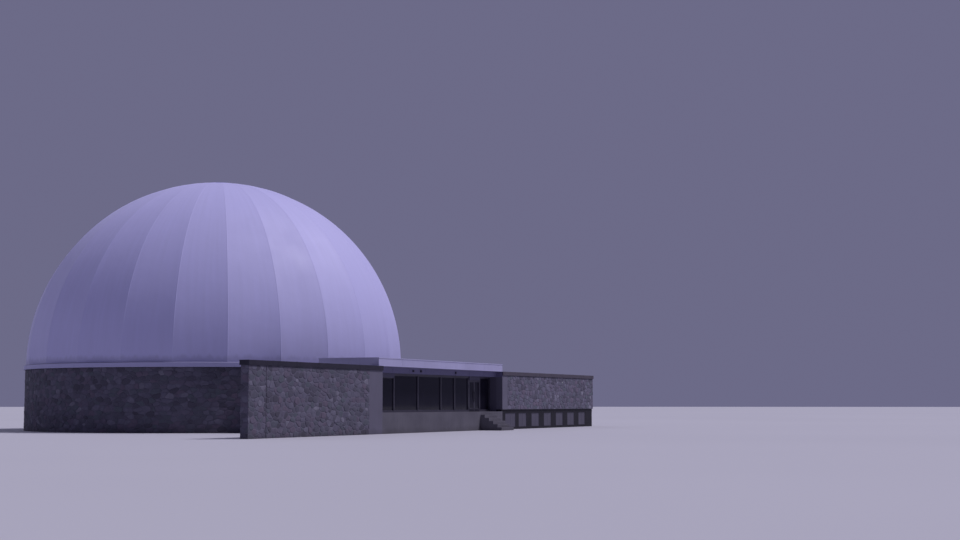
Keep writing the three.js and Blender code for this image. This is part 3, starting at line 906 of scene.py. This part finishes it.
def lathe(shape, profile, sides, start, turn=FULL_TURN):
    """Turns a closed profile of (radius, height) points about the dome's axis."""
    full = turn == FULL_TURN
    count = sides if full else sides + 1
    rings = []
    for i in range(count):
        angle = start + turn * i / sides
        rings.append(shape.ring([polar(radius, angle, z) for radius, z in profile]))
    for i in range(sides):
        shape.bridge(rings[(i + 1) % count], rings[i])
    if not full:
        shape.faces.append(tuple(rings[0]))
        shape.faces.append(tuple(reversed(rings[-1])))


def crown_cap():
    """The cap over the gores' ends, with a rim that laps down over them."""
    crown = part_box("dome_crown_cap")[1].z - DOME_FOOT
    outer = CROWN_RADIUS + CAP_LAP
    over = []
    for i in range(CAP_STEPS + 1):
        radius = outer * (1 - i / CAP_STEPS)
        over.append((max(radius, CAP_TIP), DOME_FOOT + math.sqrt(crown**2 - radius**2)))
    under = [(radius, z - CAP_THICKNESS) for radius, z in over]
    under[0] = (over[0][0], over[0][1] - 2 * CAP_THICKNESS)
    shape = Shape()
    lathe(shape, under[::-1] + over, GORE_COUNT, FIRST_SEAM)
    shape.piece("crown_cap", DOME_PAINT, "dome_paint", replaced=["dome_crown_cap"])


def ring_beams():
    """The painted ring under the dome, with a sloping top and a drip under its edge."""
    low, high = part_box("ring_beam_back_right")
    outer = high.x
    inner = DOME_RADIUS - RING_DEPTH
    edge_top = high.z - RING_SLOPE
    groove = [(outer - across * DRIP, low.z + up * DRIP) for across, up in DRIP_GROOVE]
    profile = [
        (inner, low.z), *groove, (outer - RING_CHAMFER, low.z), (outer, low.z + RING_CHAMFER),
        (outer, edge_top - RING_CHAMFER), (outer - RING_CHAMFER, edge_top),
        (DOME_RADIUS, high.z), (inner, high.z),
    ]
    for i, quarter in enumerate(("front_right", "back_right", "back_left", "front_left")):
        shape = Shape()
        lathe(shape, profile, RING_SIDES, (i - 1) * QUARTER_TURN, QUARTER_TURN)
        solid = f"ring_beam_{quarter}"
        shape.piece(f"ring_{quarter}", RING_PAINT, "dome_paint", replaced=[solid])


def lengths(start, end, longest):
    """Splits a line into equal lengths with a small gap between each two."""
    count = max(1, math.ceil((end - start) / longest))
    step = (end - start) / count
    parts = []
    for i in range(count):
        first = start + step * i + (LAP_GAP / 2) * (i > 0)
        last = start + step * (i + 1) - (LAP_GAP / 2) * (i < count - 1)
        parts.append((first, last))
    return parts


def along_x(run):
    x0, x1, y0, y1 = run
    return x1 - x0 > y1 - y0


def split(run, longest):
    """Splits a run, a long rectangle (x0, x1, y0, y1), into lengths."""
    x0, x1, y0, y1 = run
    if along_x(run):
        return [(a, b, y0, y1) for a, b in lengths(x0, x1, longest)]
    return [(x0, x1, a, b) for a, b in lengths(y0, y1, longest)]


def fascia():
    """White boards round the canopy roof, with a lip along the top and the bottom."""
    low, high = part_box("roof_fascia")
    inner_y0 = low.y + BOARD
    inner_y1 = high.y - BOARD
    runs = (
        (low.x, high.x, low.y, inner_y0),
        (low.x, high.x, inner_y1, high.y),
        (low.x, low.x + BOARD, inner_y0, inner_y1),
        (high.x - BOARD, high.x, inner_y0, inner_y1),
    )
    shape = Shape()
    for run in runs:
        for x0, x1, y0, y1 in split(run, FASCIA_LENGTH):
            shape.box((x0, y0, low.z), (x1, y1, high.z), HALF_EDGE)
    shape.band(low, high, high.z - LIP_HEIGHT, high.z + LIP / 2, LIP, LIP)
    lower_top = low.z + LIP_HEIGHT * LOWER_LIP
    shape.band(low, high, low.z - SOFFIT_DROP, lower_top, LIP * LOWER_LIP, LIP)
    shape.piece("fascia_boards", WHITE_PAINT, "white_paint", replaced=["roof_fascia"])


def canopy_soffit():
    """Thin white sheets under the canopy, from its front edge to the header."""
    low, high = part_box("roof_fascia")
    wall_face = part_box("lobby_header")[0].y
    shape = Shape()
    for x0, x1 in lengths(low.x + BOARD, high.x - BOARD, FASCIA_LENGTH):
        shape.box((x0, low.y + LIP, low.z - SOFFIT_DROP), (x1, wall_face, low.z), FINEST_EDGE)
    shape.piece("canopy_soffit", WHITE_PAINT, "white_paint")


def coping(name, finish, slot, solid, runs):
    """Straight copings in lengths, with a strip lapped over each joint."""
    z0, z1 = (corner.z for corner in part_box(solid))
    shape = Shape()
    for run in runs:
        parts = split(run, COPING_LENGTH)
        for x0, x1, y0, y1 in parts:
            shape.box((x0, y0, z0), (x1, y1, z1))
        for x0, x1, y0, y1 in parts[:-1]:
            if along_x(run):
                low = (x1 - LAP_HALF, y0 - LAP_RISE)
                high = (x1 + LAP_HALF, y1 + LAP_RISE)
            else:
                low = (x0 - LAP_RISE, y1 - LAP_HALF)
                high = (x1 + LAP_RISE, y1 + LAP_HALF)
            shape.box((*low, z0 + LAP_RISE), (*high, z1 + LAP_RISE), LAP_RISE)
    shape.piece(name, finish, slot, replaced=[solid])


def screen_wall_coping():
    """The dark coping over the screen wall, from its left end to the canopy."""
    low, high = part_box("left_wall_coping")
    lobby_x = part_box("lobby_left_wall")[0].x
    wall_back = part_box("left_screen_wall")[1].y
    runs = ((low.x, lobby_x, low.y, high.y), (lobby_x, high.x, low.y, wall_back))
    coping("left_coping", DARK_METAL, "dark_metal", "left_wall_coping", runs)


def wing_coping():
    """The coping along the front, the back and the end of the wing."""
    low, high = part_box("right_wing_coping")
    front_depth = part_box("left_screen_wall")[1].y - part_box("left_wall_coping")[0].y
    front_back = low.y + front_depth
    back_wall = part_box("right_back_wall")[0]
    end_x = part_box("right_end_wall")[0].x
    runs = (
        (low.x, high.x, low.y, front_back),
        (back_wall.x, end_x, back_wall.y, high.y),
        (end_x, high.x, front_back, high.y),
    )
    coping("wing_coping", WING_COPING, "wing_coping", "right_wing_coping", runs)


def low_roof_edging():
    """Metal edging along the low roof's two sides, under the canopy and behind it."""
    low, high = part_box("lobby_low_roof")
    canopy_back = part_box("roof_fascia")[1].y
    coping_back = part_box("right_wing_coping")[1].y
    wing_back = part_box("right_back_wall")[0].y
    wing_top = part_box("wing_roof")[1].z
    left = (low.x - EDGING_PROUD, low.x + EDGING_WIDTH)
    right = (high.x - EDGING_WIDTH, high.x + EDGING_PROUD)
    bottom = low.z - EDGING_DRIP
    top = high.z + EDGING_DRIP
    under_canopy = high.z - SOFFIT_DROP - CLEARANCE
    end = high.y - EDGING_DRIP
    runs = (
        (left, low.y, canopy_back, bottom, under_canopy),
        (left, canopy_back + CLEARANCE, end, bottom, top),
        (right, low.y, wing_back, wing_top, under_canopy),
        (right, coping_back + CLEARANCE, end, bottom, top),
    )
    shape = Shape()
    for (x0, x1), start, stop, z0, z1 in runs:
        for y0, y1 in lengths(start, stop, COPING_LENGTH):
            shape.box((x0, y0, z0), (x1, y1, z1), HALF_EDGE)
    shape.piece("low_roof_edging", DARK_METAL, "dark_metal")


def header_covers():
    """Cover strips over the header's joints and over its corner with the wing."""
    low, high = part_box("lobby_header")
    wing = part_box("right_pier")[0]
    bottom = low.z + CLEARANCE
    top = high.z - SOFFIT_DROP - CLEARANCE
    shape = Shape()
    for _, end in lengths(low.x, high.x, COVER_LENGTH)[:-1]:
        corner = (end - COVER_HALF, low.y - COVER_PROUD, bottom)
        shape.box(corner, (end + COVER_HALF, low.y + EDGE, top), FINE_EDGE)
    corner = (wing.x - EDGE, wing.y + CLEARANCE, bottom)
    shape.box(corner, (wing.x + EDGE, low.y - CLEARANCE, top), FINE_EDGE)
    shape.piece("header_covers", GREY_PAINT, "grey_paint")


def lowered_heads():
    """Panels over the leftmost pane and over the doors, below the header."""
    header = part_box("lobby_header")[0]
    left_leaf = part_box("door_left_frame")
    right_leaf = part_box("door_right_frame")
    front = FRAME_FACE - LOWERED_MARGIN
    bottom = left_leaf[1].z + LOWERED_MARGIN
    spans = (
        (header.x + LOWERED_MARGIN, LEFT_BAY_END - LOWERED_MARGIN),
        (left_leaf[0].x, right_leaf[1].x),
    )
    shape = Shape()
    for x0, x1 in spans:
        shape.box((x0, front, bottom), (x1, FRAME_FACE + EDGE, header.z))
    # Their paint is the header's grey, darkened as painted shade
    shape.piece("lowered_head_panels", SHADED_HEAD_PAINT, "grey_paint")


def header_lights():
    """Three small square lamps on the header."""
    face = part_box("lobby_header")[0].y
    bottom = LIGHT_HEIGHT - LIGHT_HALF
    top = LIGHT_HEIGHT + LIGHT_HALF
    shape = Shape()
    for x in LIGHT_PLACES:
        corner = (x - LIGHT_HALF, face - LIGHT_PROUD, bottom)
        shape.box(corner, (x + LIGHT_HALF, face + EDGE, top))
    shape.piece("header_lights", DARK_METAL, "dark_metal")


def glazing_beads():
    """Slim beads round each fixed pane, on both faces of the frame."""
    shape = Shape()
    for name in solids("glass_pane"):
        low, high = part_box(name)
        for y0, y1 in ((low.y - BEAD_DEPTH, low.y), (high.y, high.y + BEAD_DEPTH)):
            shape.surround((low.x, y0, low.z), (high.x, y1, high.z), BEAD_WIDTH, FINE_EDGE)
    shape.piece("glazing_beads", FRAME_PAINT, "frame_paint")


def door_plates():
    """A kick plate on each door leaf, and a lock plate on the stile where the leaves meet."""
    for body, meeting in (("door_left", 1), ("door_right", -1)):
        glass_low, glass_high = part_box(body + "_glass")
        back = FRAME_FACE + PLATE
        shape = Shape()
        kick_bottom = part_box(body + "_frame")[0].z + KICK_MARGIN
        corner = (glass_low.x, FRAME_FACE - PLATE, kick_bottom)
        shape.box(corner, (glass_high.x, back, glass_low.z - KICK_MARGIN), PLATE)
        stile = glass_high.x if meeting > 0 else glass_low.x
        middle = stile + meeting * LOCK_OFFSET
        z = FLOOR_TOP + LOCK_HEIGHT
        corner = (middle - LOCK_HALF_WIDTH, FRAME_FACE - 2 * PLATE, z - LOCK_HALF_HEIGHT)
        shape.box(corner, (middle + LOCK_HALF_WIDTH, back, z + LOCK_HALF_HEIGHT), PLATE)
        shape.piece(body + "_plates", DARK_METAL, "dark_metal", body=body)


def lower_panels():
    """Pale panels under the wing's wall, each of two boards in a slim edge."""
    low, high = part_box("lower_panels")
    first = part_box("lower_frame")[0].x + FIRST_POST_WIDTH
    board_back = high.y - PANEL_BACKING
    shape = Shape()
    shape.box((low.x, board_back, low.z), (high.x, high.y, high.z), HALF_EDGE)
    for i in range(PANEL_COUNT):
        x0 = first + PANEL_PITCH * i
        x1 = x0 + (PANEL_WIDTH if i else FIRST_PANEL_WIDTH)
        middle = (x0 + x1) / 2
        for start, end in ((x0, middle - LAP_GAP / 2), (middle + LAP_GAP / 2, x1)):
            shape.box((start, low.y + EDGE, low.z), (end, board_back, high.z))
        rim_corner = (x1, low.y + PANEL_RIM, high.z)
        shape.surround((x0, low.y, low.z), rim_corner, PANEL_RIM, HALF_EDGE)
    shape.piece("panel_boards", PALE_PANEL, "pale_panel", replaced=["lower_panels"])


def step_edges():
    """The front and the top of each entrance step."""
    low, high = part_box("entrance_steps")
    tread = (high.y - low.y) / STEP_COUNT
    rise = high.z / STEP_COUNT
    return [(low.y + tread * i, rise * (i + 1)) for i in range(STEP_COUNT)]


def steps():
    """Concrete steps with rounded edges."""
    low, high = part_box("entrance_steps")
    tread = (high.y - low.y) / STEP_COUNT
    outline = [(high.y, 0.0), (low.y, 0.0)]
    for front, top in step_edges():
        outline += [
            (front, top - STEP_EDGE), (front + STEP_CUT, top - STEP_CUT),
            (front + STEP_EDGE, top), (front + tread, top),
        ]
    shape = Shape()
    left = shape.ring([(low.x, y, z) for y, z in outline])
    right = shape.ring([(high.x, y, z) for y, z in outline])
    shape.bridge(right, left)
    shape.faces += [tuple(left), tuple(reversed(right))]
    shape.piece("steps", CONCRETE, "concrete", replaced=["entrance_steps"])


def step_nosings():
    """A dark strip near the edge of each step."""
    low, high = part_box("entrance_steps")
    shape = Shape()
    for front, top in step_edges():
        start = front + NOSING_INSET
        corner = (high.x - NOSING_MARGIN, start + NOSING_DEPTH, top + NOSING_PROUD)
        shape.box((low.x + NOSING_MARGIN, start, top - EDGE), corner, FINEST_EDGE)
    shape.piece("step_nosings", DARK_METAL, "dark_metal")


def wall_joint():
    """Sealant down the screen wall's movement joint, on both faces."""
    low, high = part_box("left_screen_wall")
    proud = STONE_RELIEF[0] / 2
    shape = Shape()
    for y0, y1 in ((low.y - proud, low.y + EDGE), (high.y - EDGE, high.y + proud)):
        shape.box((JOINT_LEFT, y0, low.z), (JOINT_RIGHT, y1, high.z), HALF_EDGE)
    shape.piece("wall_joint_sealant", DARK_METAL, "dark_metal")


def finish_solids():
    """A finish for every solid that stays in view."""
    for name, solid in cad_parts.items():
        for finish, starts in SOLID_FINISHES:
            if name.startswith(starts):
                solid.data.materials.clear()
                solid.data.materials.append(finish)


def direction(azimuth, elevation):
    """The direction at an azimuth from X and an elevation, in degrees."""
    rise = math.radians(elevation)
    return Vector(polar(math.cos(rise), math.radians(azimuth), math.sin(rise)))


def sun(name, azimuth, elevation, strength, softness, colour):
    """A distant light, with its angles in degrees."""
    light = bpy.data.lights.new(name, "SUN")
    light.energy = strength
    light.angle = math.radians(softness)
    light.color = colour
    towards = direction(azimuth, elevation)
    put(name, light).rotation_euler = towards.to_track_quat("Z", "Y").to_euler()


def studio():
    """A pale floor, a soft high light from the front right, a soft fill and an even sky."""
    turn = FULL_TURN / FLOOR_SIDES
    rim = [polar(FLOOR_REACH, turn * i, FLOOR_HEIGHT) for i in range(FLOOR_SIDES)]
    mesh = bpy.data.meshes.new("studio_floor")
    mesh.from_pydata(rim, [], [tuple(range(FLOOR_SIDES))])
    mesh.materials.append(studio_floor())
    floor = put("studio_floor", mesh)

    sun("key_light", -55, 57, strength=2.45, softness=14, colour=(0.93, 0.885, 1.0))
    sun("back_fill", 75, 30, strength=0.3, softness=60, colour=(0.92, 0.90, 1.0))
    world = bpy.data.worlds.new("sky")
    world.use_nodes = True
    background = world.node_tree.nodes["Background"]
    background.inputs["Color"].default_value = SKY
    background.inputs["Strength"].default_value = 1.0
    scene.world = world
    scene.view_settings.view_transform = "Standard"


def camera():
    """The photograph's viewpoint: at eye height, before the front's left end, looking along it."""
    data = bpy.data.cameras.new("camera")
    data.sensor_width = SENSOR_WIDTH
    data.lens = SENSOR_WIDTH * FOCAL_PIXELS / IMAGE_WIDTH
    data.clip_end = FARTHEST_SEEN
    made = put("camera", data)
    made.location = EYE
    look = direction(LOOK_AZIMUTH, LOOK_ELEVATION)
    made.rotation_euler = look.to_track_quat("-Z", "Y").to_euler()
    scene.camera = made


camera()
studio()
finish_solids()
dome_sheets()
seam_battens()
crown_cap()
ring_beams()
stone_walls()
round_wall()
fascia()
canopy_soffit()
screen_wall_coping()
wing_coping()
low_roof_edging()
header_covers()
lowered_heads()
header_lights()
glazing_beads()
door_plates()
lower_panels()
steps()
step_nosings()
wall_joint()
